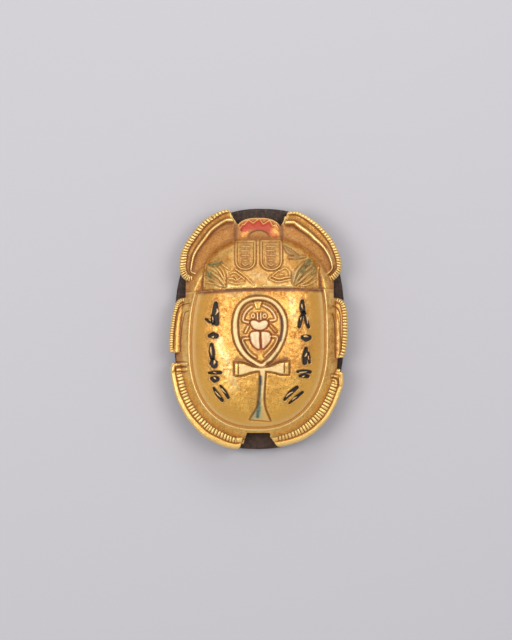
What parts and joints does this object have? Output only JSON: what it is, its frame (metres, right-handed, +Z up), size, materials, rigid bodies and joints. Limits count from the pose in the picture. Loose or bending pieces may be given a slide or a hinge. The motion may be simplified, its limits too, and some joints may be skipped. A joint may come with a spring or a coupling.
{
  "type": "scarab ornament",
  "caption": "Oval scarab beetle ornament with ribbed legs, domed wing cases and a raised ankh, on a dark oval plate.",
  "frame": {"origin": "centre of the plate's underside, on the surface that it lies on", "axes": "+Y to the beetle's head, +X to its right as seen from above, +Z up out of the back"},
  "size_m": [0.09, 0.121, 0.034],
  "materials": {
    "gold_paint": "aged gold paint with brown wash over cast resin",
    "base_paint": "speckled brown-black paint over cast resin"
  },
  "bodies": {
    "root": {"base": "base_paint", "scarab": "gold_paint"}
  },
  "joints": []
}
